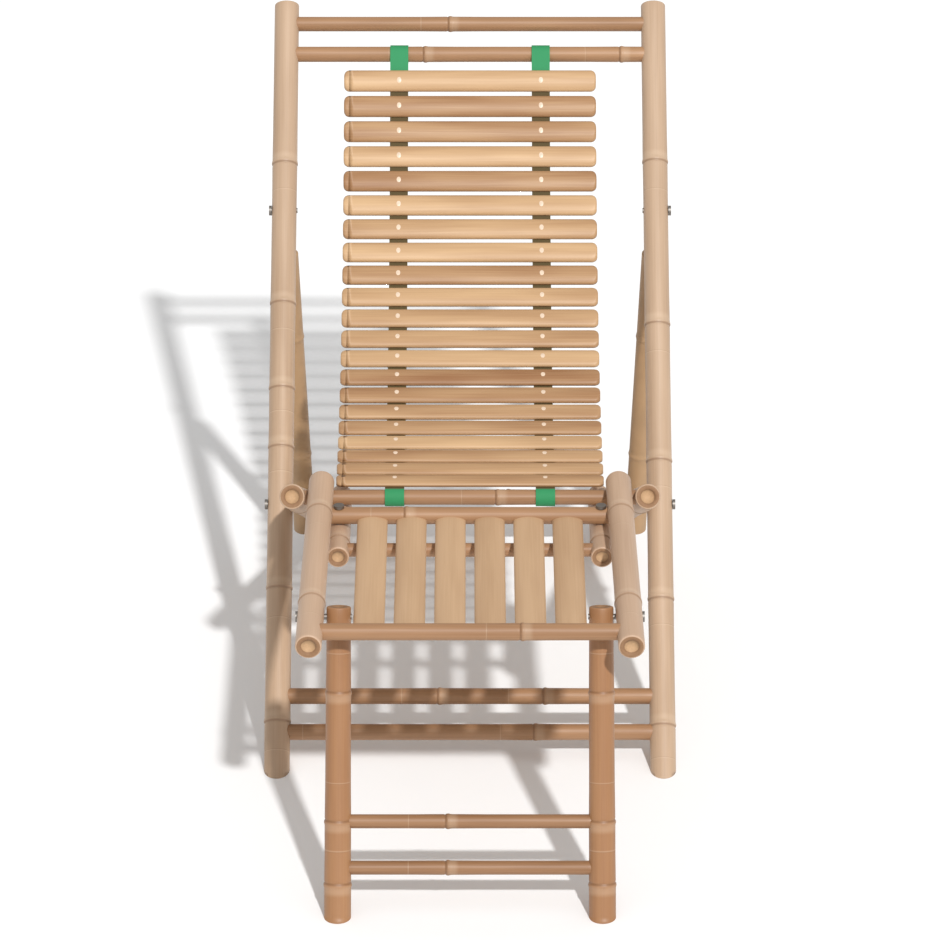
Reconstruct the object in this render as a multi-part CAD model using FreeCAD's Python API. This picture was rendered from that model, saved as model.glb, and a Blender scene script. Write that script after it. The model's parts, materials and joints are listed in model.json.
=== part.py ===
import FreeCAD, Part
import os
from math import atan2, cos, degrees, hypot, radians, sin, sqrt

# Bamboo folding recliner with a footrest, in millimetres.
# X runs across the chair, Y from the footrest to the back, Z up from the floor.
# Left and right are as seen from the front. While it is built, Y is measured from the point where
# the back poles' centre lines meet the floor; at the end the origin goes to the bottom centre.

V = FreeCAD.Vector

# Fits shared by the whole chair
socket_fit = 0.15            # round a rung's end in its drilled socket
socket_depth = 9.0           # how far a rung's end goes into a pole
pin_fit = 0.05               # round a bolt in the pole that turns on it
side_gap = 0.8               # between poles that pass each other
strut_gap = 2.0              # between a strut and the rail, which slants
bearing_gap = 0.3            # where one round pole rests on another
node_swell = 1.1             # how far a bamboo node stands out
node_half_width = 6.0
end_chamfer = 2.0
end_recess_depth = 3.0       # the hollow seen in a sawn end
end_recess_share = 0.62      # of the pole's radius

# Back frame
back_pole_d = 38.0
back_pole_spacing = 562.0    # between centre lines
back_pole_length = 1228.0
back_lean = 44.5             # degrees above the floor
head_rung_d = 23.0
head_rung_at = 1196.0        # along the pole from the floor
sling_rung_d = 24.0
sling_rung_at = 1145.0
stretcher_d = 24.0
stretcher_upper_at = 113.0
stretcher_lower_at = 58.0
left_pole_nodes = (74, 280, 502, 596, 733, 962)
right_pole_nodes = (68, 263, 480, 699, 965)

# Seat frame
seat_rail_d = 37.0
seat_front_y = 38.0
seat_front_z = 422.0
seat_front_x = 254.0
seat_floor_y = 846.0         # where the rail's centre line meets the floor
seat_bar_d = 22.0
seat_bar_in = 28.0           # from the rail's front end to the front bar
seat_rear_bar_y = 740.0
seat_rail_nodes = (150, 420, 640, 800)

# Prop
strut_d = 34.0
strut_pivot_at = 885.0       # along the back pole
prop_bar_d = 22.0
prop_bar_y = 706.0
strut_tail = 62.0            # strut left below the prop bar
tongue_thick = 12.0
tongue_height = 24.0
tongue_length = 74.0         # from the pivot to the full round of the strut
slot_side_fit = 0.6
strut_nodes = (150, 365)
stop_peg_d = 10.0
stop_peg_above = 12.0
stop_peg_count = 3
stop_peg_pitch = 60.0

# Sling
slat_count = 21
slat_pitch = 40.5
slat_first = 24.0            # along the webbing from its start on the seat's front bar
slat_length = 384.0
slat_width = 33.0
slat_thick = 9.0
slat_edge = 4.0              # height of the slat's long edges
slat_corner = 9.0
webbing_width = 28.0
webbing_thick = 1.5
webbing_x = 108.0
loop_fit = 0.3
slat_seat = 0.45             # the straps curve a little away from the flat slats
sag_control_y = 524.0        # the sling hangs in a parabola pulled towards this point
sag_control_z = 399.0
sling_top_angle = 55.0       # degrees, where the webbing meets the upper rung

# Footrest
foot_rail_d = 37.0
foot_rail_rear_x = 212.5
foot_rail_front_x = 219.3
foot_rail_front_y = -393.0
foot_rail_front_z = 400.0
foot_rail_past_bar = 12.0    # rail left behind the seat's front bar
foot_rail_over_bar = 18.5    # rail's centre line above the bar's
foot_front_bar_d = 24.0
foot_front_bar_y = -352.0
foot_rear_bar_d = 25.0
foot_rear_bar_y = -5.0
foot_rear_bar_drop = 11.0    # below the rails' centre line
foot_slat_count = 6
foot_slat_pitch = 55.3
foot_slat_width = 43.0
foot_slat_thick = 9.0
foot_slat_edge = 5.0
foot_slat_let_in = 6.0       # into each bar
mortise_fit = 0.2
foot_rail_nodes = (118, 372)
tongue_pole_d = 32.0
tongue_pole_x = 186.0
tongue_front_y = -88.0
tongue_rear_y = 135.0
tongue_bar_d = 20.0
tongue_bar_y = -62.0

# Footrest legs
leg_top_d = 34.0
leg_foot_d = 38.0
leg_top_x = 180.0
leg_foot_x = 183.0
leg_pivot_y = -300.0
leg_pivot_drop = 6.0         # below the rail's centre line
leg_above_pivot = 14.0
leg_foot_y = -428.0
leg_rung_d = 20.0
leg_rung_shares = (0.68, 0.835)   # of the way from the pivot to the floor
leg_nodes = (120, 300, 388)

# Bolts
bolt_d = 8.0
bolt_head_d = 15.0
bolt_head_high = 4.0


def bamboo(start, end, d_start, d_end, nodes, recess_start=False):
    """A bamboo pole between two points: a revolved profile with swollen nodes."""
    along = end.sub(start)
    length = along.Length
    r_start, r_end = d_start / 2, d_end / 2

    def radius(z):
        return r_start + (r_end - r_start) * z / length

    points = [V(0, 0, 0), V(r_start - end_chamfer, 0, 0), V(r_start, 0, end_chamfer)]
    if recess_start:
        inner = r_start * end_recess_share
        points[0:1] = [V(0, 0, end_recess_depth), V(inner, 0, end_recess_depth), V(inner, 0, 0)]
    for z in nodes:
        points.append(V(radius(z), 0, z - node_half_width))
        points.append(V(radius(z) + node_swell, 0, z))
        points.append(V(radius(z), 0, z + node_half_width))
    points += [V(r_end, 0, length - end_chamfer), V(r_end - end_chamfer, 0, length), V(0, 0, length)]
    face = Part.Face(Part.makePolygon(points + [points[0]]))
    pole = face.revolve(V(0, 0, 0), V(0, 0, 1), 360)
    turn = FreeCAD.Rotation(V(0, 0, 1), along)
    pole.Placement = FreeCAD.Placement(start, turn)
    return pole


def across(x_from, x_to, y, z, diameter):
    """A plain round bar along X."""
    low = min(x_from, x_to)
    return Part.makeCylinder(diameter / 2, abs(x_to - x_from), V(low, y, z), V(1, 0, 0))


def rung(half, y, z, diameter, nodes):
    """A bamboo rung along X with its middle on the chair's centre; nodes are X places."""
    places = [n + half for n in nodes]
    return bamboo(V(-half, y, z), V(half, y, z), diameter, diameter, places)


def sockets(poles, half, y, z, diameter):
    """Drills both poles for the ends of one rung."""
    drill = across(-half - socket_fit, half + socket_fit, y, z, diameter + 2 * socket_fit)
    return [pole.cut(drill) for pole in poles]


def on_floor(shape):
    """Saws off what would reach below the floor."""
    box = shape.BoundBox
    margin = 10
    under = Part.makeBox(box.XLength + 2 * margin, box.YLength + 2 * margin, abs(box.ZMin) + margin,
                         V(box.XMin - margin, box.YMin - margin, box.ZMin - margin))
    return shape.cut(under)


def bolt(x_from, x_to, y, z):
    """A bolt along X from its outer head to its end."""
    shank = across(x_from, x_to, y, z, bolt_d)
    out = 1 if x_from > x_to else -1
    head = across(x_from, x_from + out * bolt_head_high, y, z, bolt_head_d)
    return shank.fuse(head).removeSplitter()


# Places worked out from the sizes
half_spacing = back_pole_spacing / 2
lean = radians(back_lean)


def on_back_pole(t):
    """Y and Z of the point t along the back poles' centre lines."""
    return t * cos(lean), t * sin(lean)


seat_run = seat_floor_y - seat_front_y
seat_slope = seat_front_z / seat_run
seat_angle = atan2(seat_front_z, seat_run)
fold_y = (seat_front_z + seat_slope * seat_front_y) / (sin(lean) / cos(lean) + seat_slope)
fold_z = fold_y * sin(lean) / cos(lean)
fold_x = half_spacing - back_pole_d / 2 - seat_rail_d / 2 - side_gap
seat_splay = (seat_front_x - fold_x) / (fold_y - seat_front_y)


def on_seat_rail(y):
    """X and Z of the right seat rail's centre line at a given Y."""
    return seat_front_x - seat_splay * (y - seat_front_y), seat_front_z - seat_slope * (y - seat_front_y)


# The back frame: two poles and four rungs let into them
pole_end_y, pole_end_z = on_back_pole(back_pole_length)
pole_start_y, pole_start_z = on_back_pole(-back_pole_d)
back_poles = []
for side, nodes in ((-1, left_pole_nodes), (1, right_pole_nodes)):
    start = V(side * half_spacing, pole_start_y, pole_start_z)
    end = V(side * half_spacing, pole_end_y, pole_end_z)
    shifted = [n + back_pole_d for n in nodes]
    back_poles.append(on_floor(bamboo(start, end, back_pole_d, back_pole_d, shifted)))

pieces = {}
rung_half = half_spacing - back_pole_d / 2 + socket_depth
for name, at, diameter, nodes in (
        ("head_rung", head_rung_at, head_rung_d, (-30,)),
        ("sling_rung", sling_rung_at, sling_rung_d, (-68, 232)),
        ("stretcher_upper", stretcher_upper_at, stretcher_d, (-44, 110)),
        ("stretcher_lower", stretcher_lower_at, stretcher_d, (-190, 96))):
    y, z = on_back_pole(at)
    pieces[name] = rung(rung_half, y, z, diameter, nodes)
    back_poles = sockets(back_poles, rung_half, y, z, diameter)

# The prop: struts with flat tongues that turn on bolts in slots in the back poles
pivot_y, pivot_z = on_back_pole(strut_pivot_at)
prop_bar_x, rail_z = on_seat_rail(prop_bar_y)
prop_rest = (seat_rail_d / 2 + prop_bar_d / 2 + bearing_gap) / cos(seat_angle)
prop_bar_z = rail_z + prop_rest
strut_bar_x = prop_bar_x + seat_rail_d / 2 + strut_gap + strut_d / 2
strut_run = hypot(prop_bar_y - pivot_y, prop_bar_z - pivot_z)
strut_dir_y = (prop_bar_y - pivot_y) / strut_run
strut_dir_z = (prop_bar_z - pivot_z) / strut_run


def on_strut(u, side):
    """The point u below the pivot on a strut's centre line."""
    x = half_spacing + (strut_bar_x - half_spacing) * u / strut_run
    return V(side * x, pivot_y + strut_dir_y * u, pivot_z + strut_dir_z * u)


struts = []
for side in (-1, 1):
    body = bamboo(on_strut(tongue_length, side), on_strut(strut_run + strut_tail, side),
                  strut_d, strut_d, strut_nodes)
    root_in = 20
    blank = Part.makeBox(tongue_thick, tongue_length + root_in, tongue_height,
                         V(-tongue_thick / 2, 0, -tongue_height / 2))
    knuckle = Part.makeCylinder(tongue_height / 2, tongue_thick, V(-tongue_thick / 2, 0, 0), V(1, 0, 0))
    tongue = blank.fuse(knuckle).removeSplitter()
    tilt = FreeCAD.Rotation(V(1, 0, 0), degrees(atan2(strut_dir_z, strut_dir_y)))
    tongue.Placement = FreeCAD.Placement(V(side * half_spacing, pivot_y, pivot_z), tilt)
    hole = across(-half_spacing - back_pole_d, half_spacing + back_pole_d, pivot_y, pivot_z,
                  bolt_d + 2 * pin_fit)
    struts.append(body.fuse(tongue).removeSplitter().cut(hole))
pieces["prop_bar"] = rung(strut_bar_x - strut_d / 2 + socket_depth, prop_bar_y, prop_bar_z,
                          prop_bar_d, (60,))
struts = sockets(struts, strut_bar_x - strut_d / 2 + socket_depth, prop_bar_y, prop_bar_z, prop_bar_d)
pieces["prop_strut_left"], pieces["prop_strut_right"] = struts

# The slots run down each pole's back from just above the pivot
slot_width = tongue_thick + 2 * slot_side_fit
slot_above = tongue_height / 2 + 1.5
slot_below = tongue_length + 6
for i, side in enumerate((-1, 1)):
    slot = Part.makeBox(slot_width, slot_above + slot_below, back_pole_d,
                        V(-slot_width / 2, -slot_below, -back_pole_d - slot_above + tongue_height / 2 + 14))
    tilt = FreeCAD.Rotation(V(1, 0, 0), back_lean)
    slot.Placement = FreeCAD.Placement(V(side * half_spacing, pivot_y, pivot_z), tilt)
    back_poles[i] = back_poles[i].cut(slot)

# Bolts: the fold bolts join back poles and seat rails, the prop bolts carry the struts
fold_bolts, prop_bolts = [], []
pole_out = half_spacing + back_pole_d / 2
fold_in = fold_x - seat_rail_d / 2 - 1
for side in (-1, 1):
    fold_bolts.append(bolt(side * pole_out, side * fold_in, fold_y, fold_z))
    prop_bolts.append(bolt(side * pole_out, side * (half_spacing - back_pole_d / 2 - 1), pivot_y, pivot_z))
pieces["fold_bolts"] = Part.makeCompound(fold_bolts)
pieces["prop_bolts"] = Part.makeCompound(prop_bolts)
for y, z in ((fold_y, fold_z), (pivot_y, pivot_z)):
    drill = across(-pole_out - back_pole_d, pole_out + back_pole_d, y, z, bolt_d + 2 * pin_fit)
    back_poles = [pole.cut(drill) for pole in back_poles]
pieces["back_pole_left"], pieces["back_pole_right"] = back_poles

# The seat frame: two rails, a front bar and a rear bar
rail_long = hypot(seat_run, seat_front_z) + seat_rail_d
seat_rails = []
for side in (-1, 1):
    stretch = rail_long / hypot(seat_run, seat_front_z)
    end_y = seat_front_y + seat_run * stretch
    end_x, end_z = on_seat_rail(end_y)
    rail = bamboo(V(side * seat_front_x, seat_front_y, seat_front_z), V(side * end_x, end_y, end_z),
                  seat_rail_d, seat_rail_d, seat_rail_nodes, recess_start=True)
    seat_rails.append(on_floor(rail))
bar_y = seat_front_y + seat_bar_in * cos(seat_angle)
bar_x, bar_z = on_seat_rail(bar_y)
bar_half = bar_x - seat_rail_d / 2 + socket_depth
pieces["seat_front_bar"] = rung(bar_half, bar_y, bar_z, seat_bar_d, (40,))
seat_rails = sockets(seat_rails, bar_half, bar_y, bar_z, seat_bar_d)
rear_x, rear_z = on_seat_rail(seat_rear_bar_y)
rear_half = rear_x - seat_rail_d / 2 + socket_depth
pieces["seat_rear_bar"] = rung(rear_half, seat_rear_bar_y, rear_z, seat_bar_d, (-55,))
seat_rails = sockets(seat_rails, rear_half, seat_rear_bar_y, rear_z, seat_bar_d)
fold_drill = across(-half_spacing, half_spacing, fold_y, fold_z, bolt_d + 2 * pin_fit)
seat_rails = [rail.cut(fold_drill) for rail in seat_rails]

# Pegs on the rails: the prop bar sits in front of the rearmost, and further forward to sit up
peg_from_bar = prop_bar_d / 2 + stop_peg_d / 2 + bearing_gap
up_y, up_z = sin(seat_angle), cos(seat_angle)
foot_y, foot_z = prop_bar_y - prop_rest * cos(seat_angle) * up_y, prop_bar_z - prop_rest * cos(seat_angle) * up_z
pegs = []
for side in (-1, 1):
    for k in range(stop_peg_count):
        shift = peg_from_bar - k * stop_peg_pitch
        y = foot_y + shift * cos(seat_angle)
        x, z = on_seat_rail(y)
        peg_long = seat_rail_d / 2 + stop_peg_above
        peg = Part.makeCylinder(stop_peg_d / 2, peg_long, V(side * x, y, z), V(0, up_y, up_z))
        pegs.append(peg)
        drill = Part.makeCylinder(stop_peg_d / 2 + socket_fit, peg_long + socket_fit,
                                  V(side * x, y, z).sub(V(0, up_y, up_z).multiply(socket_fit)),
                                  V(0, up_y, up_z))
        seat_rails = [rail.cut(drill) for rail in seat_rails]
pieces["prop_stops"] = Part.makeCompound(pegs)
pieces["seat_rail_left"], pieces["seat_rail_right"] = seat_rails

# The sling: webbing that follows a parabola between the seat bar and the upper rung
rung_y, rung_z = on_back_pole(sling_rung_at)
top = radians(sling_top_angle)
lower_wrap = seat_bar_d / 2 + loop_fit + webbing_thick / 2
upper_wrap = sling_rung_d / 2 + loop_fit + webbing_thick / 2
curve_start = V(0, bar_y, bar_z + lower_wrap)
curve_end = V(0, rung_y - upper_wrap * sin(top), rung_z + upper_wrap * cos(top))
curve_pull = V(0, sag_control_y, sag_control_z)
curve = Part.BezierCurve()
curve.setPoles([curve_start, curve_pull, curve_end])
curve_edge = curve.toShape()


def curve_frame(s):
    """Point, direction and upward normal of the sling's curve at arc length s."""
    u = curve_edge.getParameterByLength(s)
    point = curve_edge.valueAt(u)
    tangent = curve_edge.tangentAt(u)
    return point, tangent, V(0, -tangent.z, tangent.y)


def webbing(x):
    """One strap: a ribbon along the curve with a loop round each bar."""
    half = webbing_thick / 2
    shift = []
    for point, tangent in ((curve_start, curve_edge.tangentAt(curve_edge.FirstParameter)),
                           (curve_end, curve_edge.tangentAt(curve_edge.LastParameter))):
        shift.append(V(0, -tangent.z, tangent.y).multiply(half))
    chord = curve_end.sub(curve_start).normalize()
    middle = V(0, -chord.z, chord.y).multiply(half)
    sides = []
    for sign in (-1, 1):
        edge = Part.BezierCurve()
        edge.setPoles([curve_start.add(V(shift[0]).multiply(sign)),
                       curve_pull.add(V(middle).multiply(sign)),
                       curve_end.add(V(shift[1]).multiply(sign))])
        sides.append(edge.toShape())
    joins = [Part.makeLine(sides[0].Vertexes[i].Point, sides[1].Vertexes[i].Point) for i in (0, -1)]
    ribbon = Part.Face(Part.Wire(Part.__sortEdges__(sides + joins)))
    strap = ribbon.extrude(V(webbing_width, 0, 0))
    for y, z, wrap in ((bar_y, bar_z, lower_wrap), (rung_y, rung_z, upper_wrap)):
        outer = Part.makeCylinder(wrap + half, webbing_width, V(0, y, z), V(1, 0, 0))
        inner = Part.makeCylinder(wrap - half, webbing_width, V(0, y, z), V(1, 0, 0))
        strap = strap.fuse(outer).cut(inner)
    strap = strap.removeSplitter()
    strap.translate(V(x - webbing_width / 2, 0, 0))
    return strap


pieces["webbing_left"] = webbing(-webbing_x)
pieces["webbing_right"] = webbing(webbing_x)


def split_slat(length, width, thick, edge, corner):
    """A split-bamboo slat along X: flat below, crowned above, with rounded corners."""
    half = width / 2
    rise = thick - edge
    low_left, low_right = V(0, -half, 0), V(0, half, 0)
    high_left, high_right = V(0, -half, edge), V(0, half, edge)
    crown = Part.Arc(high_left, V(0, 0, edge + rise), high_right).toShape()
    outline = Part.Wire([Part.makeLine(low_left, low_right), Part.makeLine(low_right, high_right),
                         crown, Part.makeLine(high_left, low_left)])
    slat = Part.Face(outline).extrude(V(length, 0, 0))
    slat.translate(V(-length / 2, 0, 0))
    if corner:
        plate = Part.makeBox(length, width, thick + 2, V(-length / 2, -half, -1))
        upright = [e for e in plate.Edges if abs(e.tangentAt(e.FirstParameter).z) > 0.9]
        slat = slat.common(plate.makeFillet(corner, upright))
    return slat


for k in range(slat_count):
    point, tangent, normal = curve_frame(slat_first + k * slat_pitch)
    slat = split_slat(slat_length, slat_width, slat_thick, slat_edge, slat_corner)
    tilt = FreeCAD.Rotation(V(1, 0, 0), degrees(atan2(tangent.z, tangent.y)))
    seat = point.add(V(normal).multiply(webbing_thick / 2 + slat_seat))
    slat.Placement = FreeCAD.Placement(seat, tilt)
    pieces["sling_slat_%02d" % (k + 1)] = slat

# The footrest: rails that are notched over the seat's front bar
foot_rail_rear_y = bar_y + foot_rail_past_bar
foot_over_z = bar_z + foot_rail_over_bar
foot_slope = (foot_over_z - foot_rail_front_z) / (bar_y - foot_rail_front_y)


def on_foot_rail(y):
    """X and Z of the right footrest rail's centre line at a given Y."""
    share = (foot_rail_rear_y - y) / (foot_rail_rear_y - foot_rail_front_y)
    x = foot_rail_rear_x + (foot_rail_front_x - foot_rail_rear_x) * share
    return x, foot_rail_front_z + foot_slope * (y - foot_rail_front_y)


rear_end_x, rear_end_z = on_foot_rail(foot_rail_rear_y)
bar_notch = across(-half_spacing, half_spacing, bar_y, bar_z, seat_bar_d + 2 * bearing_gap)
leg_x_drill = on_foot_rail(leg_pivot_y)
leg_pivot_z = leg_x_drill[1] - leg_pivot_drop
leg_drill = across(-half_spacing, half_spacing, leg_pivot_y, leg_pivot_z, bolt_d + 2 * pin_fit)
foot_rails = []
for side in (-1, 1):
    rail = bamboo(V(side * foot_rail_front_x, foot_rail_front_y, foot_rail_front_z),
                  V(side * rear_end_x, foot_rail_rear_y, rear_end_z),
                  foot_rail_d, foot_rail_d, foot_rail_nodes, recess_start=True)
    foot_rails.append(rail.cut(bar_notch).cut(leg_drill))

foot_bars = {}
for name, y, drop, diameter, nodes in (
        ("footrest_front_bar", foot_front_bar_y, 0.0, foot_front_bar_d, (72,)),
        ("footrest_rear_bar", foot_rear_bar_y, foot_rear_bar_drop, foot_rear_bar_d, (-90,))):
    x, z = on_foot_rail(y)
    half = x - foot_rail_d / 2 + socket_depth
    foot_bars[name] = (rung(half, y, z - drop, diameter, nodes), y, z - drop, diameter)
    foot_rails = sockets(foot_rails, half, y, z - drop, diameter)
pieces["footrest_rail_left"], pieces["footrest_rail_right"] = foot_rails

# Footrest slats, let into both bars
front_bar, front_y, front_z, front_d = foot_bars["footrest_front_bar"]
rear_bar, rear_y, rear_z2, rear_d = foot_bars["footrest_rear_bar"]
slat_front = front_y + front_d / 2 - foot_slat_let_in
slat_rear = rear_y - rear_d / 2 + foot_slat_let_in
slat_tilt = atan2(rear_z2 - front_z, rear_y - front_y)
slat_long = (slat_rear - slat_front) / cos(slat_tilt)
slat_mid_y = (slat_front + slat_rear) / 2
slat_mid_z = (front_z + rear_z2) / 2


def foot_slat(extra):
    """A footrest slat, or its mortise cutter when extra is the clearance all round."""
    slat = split_slat(slat_long + 2 * extra, foot_slat_width + 2 * extra, foot_slat_thick + 2 * extra,
                      foot_slat_edge + 2 * extra, 0)
    slat.translate(V(0, 0, -foot_slat_thick / 2 - extra))
    slat.rotate(V(0, 0, 0), V(0, 0, 1), 90)
    slat.rotate(V(0, 0, 0), V(1, 0, 0), degrees(slat_tilt))
    return slat


for k in range(foot_slat_count):
    x = (k - (foot_slat_count - 1) / 2) * foot_slat_pitch
    slat, cutter = foot_slat(0), foot_slat(mortise_fit)
    for shape in (slat, cutter):
        shape.translate(V(x, slat_mid_y, slat_mid_z))
    pieces["footrest_slat_%d" % (k + 1)] = slat
    front_bar = front_bar.cut(cutter)
    rear_bar = rear_bar.cut(cutter)

# The tongue: two short poles under the seat's front bar, bolted under the rear bar
tongue_under_bar = bar_z - seat_bar_d / 2 - bearing_gap - tongue_pole_d / 2
tongue_under_rear = rear_z2 - foot_rear_bar_d / 2 - tongue_pole_d / 2
tongue_slope = (tongue_under_rear - tongue_under_bar) / (rear_y - bar_y)


def tongue_z(y):
    """Height of the tongue poles' centre lines at a given Y."""
    return tongue_under_bar + tongue_slope * (y - bar_y)


tongue_poles = []
for side in (-1, 1):
    tongue_poles.append(bamboo(V(side * tongue_pole_x, tongue_front_y, tongue_z(tongue_front_y)),
                               V(side * tongue_pole_x, tongue_rear_y, tongue_z(tongue_rear_y)),
                               tongue_pole_d, tongue_pole_d, (45,)).cut(rear_bar))
tongue_half = tongue_pole_x - tongue_pole_d / 2 + socket_depth
pieces["tongue_bar"] = rung(tongue_half, tongue_bar_y, tongue_z(tongue_bar_y), tongue_bar_d, (20,))
tongue_poles = sockets(tongue_poles, tongue_half, tongue_bar_y, tongue_z(tongue_bar_y), tongue_bar_d)
tongue_bolts = []
for i, side in enumerate((-1, 1)):
    low = tongue_z(rear_y) - tongue_pole_d / 2
    high = rear_z2 + foot_rear_bar_d / 2
    shank = Part.makeCylinder(bolt_d / 2, high - low + 1, V(side * tongue_pole_x, rear_y, low - 1))
    head = Part.makeCylinder(bolt_head_d / 2, bolt_head_high, V(side * tongue_pole_x, rear_y, high))
    drill = Part.makeCylinder(bolt_d / 2 + pin_fit, 3 * high, V(side * tongue_pole_x, rear_y, low - high))
    tongue_bolts.append(shank.fuse(head).removeSplitter())
    tongue_poles[i] = tongue_poles[i].cut(drill)
    rear_bar = rear_bar.cut(drill)
pieces["footrest_front_bar"], pieces["footrest_rear_bar"] = front_bar, rear_bar
pieces["footrest_tongue_left"], pieces["footrest_tongue_right"] = tongue_poles
pieces["tongue_bolts"] = Part.makeCompound(tongue_bolts)

# The footrest's legs: they lean forward and fold back under the footrest
leg_run = hypot(leg_foot_y - leg_pivot_y, leg_pivot_z)
leg_y, leg_z = (leg_foot_y - leg_pivot_y) / leg_run, -leg_pivot_z / leg_run


def on_leg(t, side):
    """The point t below the pivot on a leg's centre line."""
    x = leg_top_x + (leg_foot_x - leg_top_x) * t / leg_run
    return V(side * x, leg_pivot_y + leg_y * t, leg_pivot_z + leg_z * t)


legs = []
for side in (-1, 1):
    leg = bamboo(on_leg(-leg_above_pivot, side), on_leg(leg_run + leg_foot_d / 2, side),
                 leg_top_d, leg_foot_d, leg_nodes)
    legs.append(on_floor(leg).cut(leg_drill))
for name, share in zip(("leg_rung_upper", "leg_rung_lower"), leg_rung_shares):
    place = on_leg(share * leg_run, 1)
    half = place.x - leg_foot_d / 2 + socket_depth
    pieces[name] = rung(half, place.y, place.z, leg_rung_d, (-30,))
    legs = sockets(legs, half, place.y, place.z, leg_rung_d)
pieces["leg_left"], pieces["leg_right"] = legs
leg_bolts = []
for side in (-1, 1):
    outer = leg_x_drill[0] + foot_rail_d / 2 - 1
    inner = leg_top_x - leg_top_d / 2 - 1
    leg_bolts.append(bolt(side * outer, side * inner, leg_pivot_y, leg_pivot_z))
head_seat = across(-half_spacing, -leg_x_drill[0] - foot_rail_d / 2 + 1, leg_pivot_y, leg_pivot_z,
                   bolt_head_d + 2 * socket_fit)
for name, sign in (("footrest_rail_left", 1), ("footrest_rail_right", -1)):
    seat = head_seat.copy() if sign > 0 else head_seat.mirror(V(0, 0, 0), V(1, 0, 0))
    pieces[name] = pieces[name].cut(seat)
pieces["leg_bolts"] = Part.makeCompound(leg_bolts)

# Origin to the bottom centre, then one file per piece
whole = Part.makeCompound(list(pieces.values())).BoundBox
to_origin = V(-(whole.XMin + whole.XMax) / 2, -(whole.YMin + whole.YMax) / 2, 0)
os.makedirs("parts", exist_ok=True)
for name, shape in sorted(pieces.items()):
    shape.translate(to_origin)
    shape.exportStep("parts/" + name + ".step")

for name, y, z in (("fold", fold_y, fold_z), ("prop", pivot_y, pivot_z), ("footrest", bar_y, bar_z),
                   ("legs", leg_pivot_y, leg_pivot_z)):
    print("%s pivot y %.3f z %.3f" % (name, y + to_origin.y, z))
print("pieces", len(pieces), "sling length %.1f" % curve_edge.Length, "shift", round(to_origin.y, 3))
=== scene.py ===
import json
import math

import bpy
import numpy as np
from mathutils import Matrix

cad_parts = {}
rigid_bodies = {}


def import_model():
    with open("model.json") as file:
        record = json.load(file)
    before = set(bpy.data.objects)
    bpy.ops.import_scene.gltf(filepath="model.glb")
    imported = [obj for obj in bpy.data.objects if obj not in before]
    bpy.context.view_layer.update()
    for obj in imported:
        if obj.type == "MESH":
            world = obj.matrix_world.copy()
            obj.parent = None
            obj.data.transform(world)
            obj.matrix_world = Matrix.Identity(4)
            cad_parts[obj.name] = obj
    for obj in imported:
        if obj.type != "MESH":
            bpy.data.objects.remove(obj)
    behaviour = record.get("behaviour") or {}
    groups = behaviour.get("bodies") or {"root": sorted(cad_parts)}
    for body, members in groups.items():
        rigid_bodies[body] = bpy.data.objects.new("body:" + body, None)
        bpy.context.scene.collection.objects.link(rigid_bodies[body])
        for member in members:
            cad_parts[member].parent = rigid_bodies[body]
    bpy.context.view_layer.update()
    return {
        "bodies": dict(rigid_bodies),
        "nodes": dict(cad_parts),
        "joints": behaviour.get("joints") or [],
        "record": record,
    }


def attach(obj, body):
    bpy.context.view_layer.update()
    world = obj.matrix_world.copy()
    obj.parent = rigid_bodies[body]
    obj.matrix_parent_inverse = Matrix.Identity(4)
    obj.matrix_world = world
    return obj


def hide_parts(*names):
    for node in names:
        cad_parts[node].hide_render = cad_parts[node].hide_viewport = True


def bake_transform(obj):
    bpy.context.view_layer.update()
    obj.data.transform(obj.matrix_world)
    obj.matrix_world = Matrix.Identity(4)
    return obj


bl_info = {
    "name": "Bamboo folding recliner",
    "version": (1, 0, 0),
    "blender": (4, 0, 0),
    "location": "View3D > Sidebar > Recliner",
    "description": "Dresses the packed recliner with bamboo poles, split slats and straps",
    "category": "Object",
}

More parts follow.
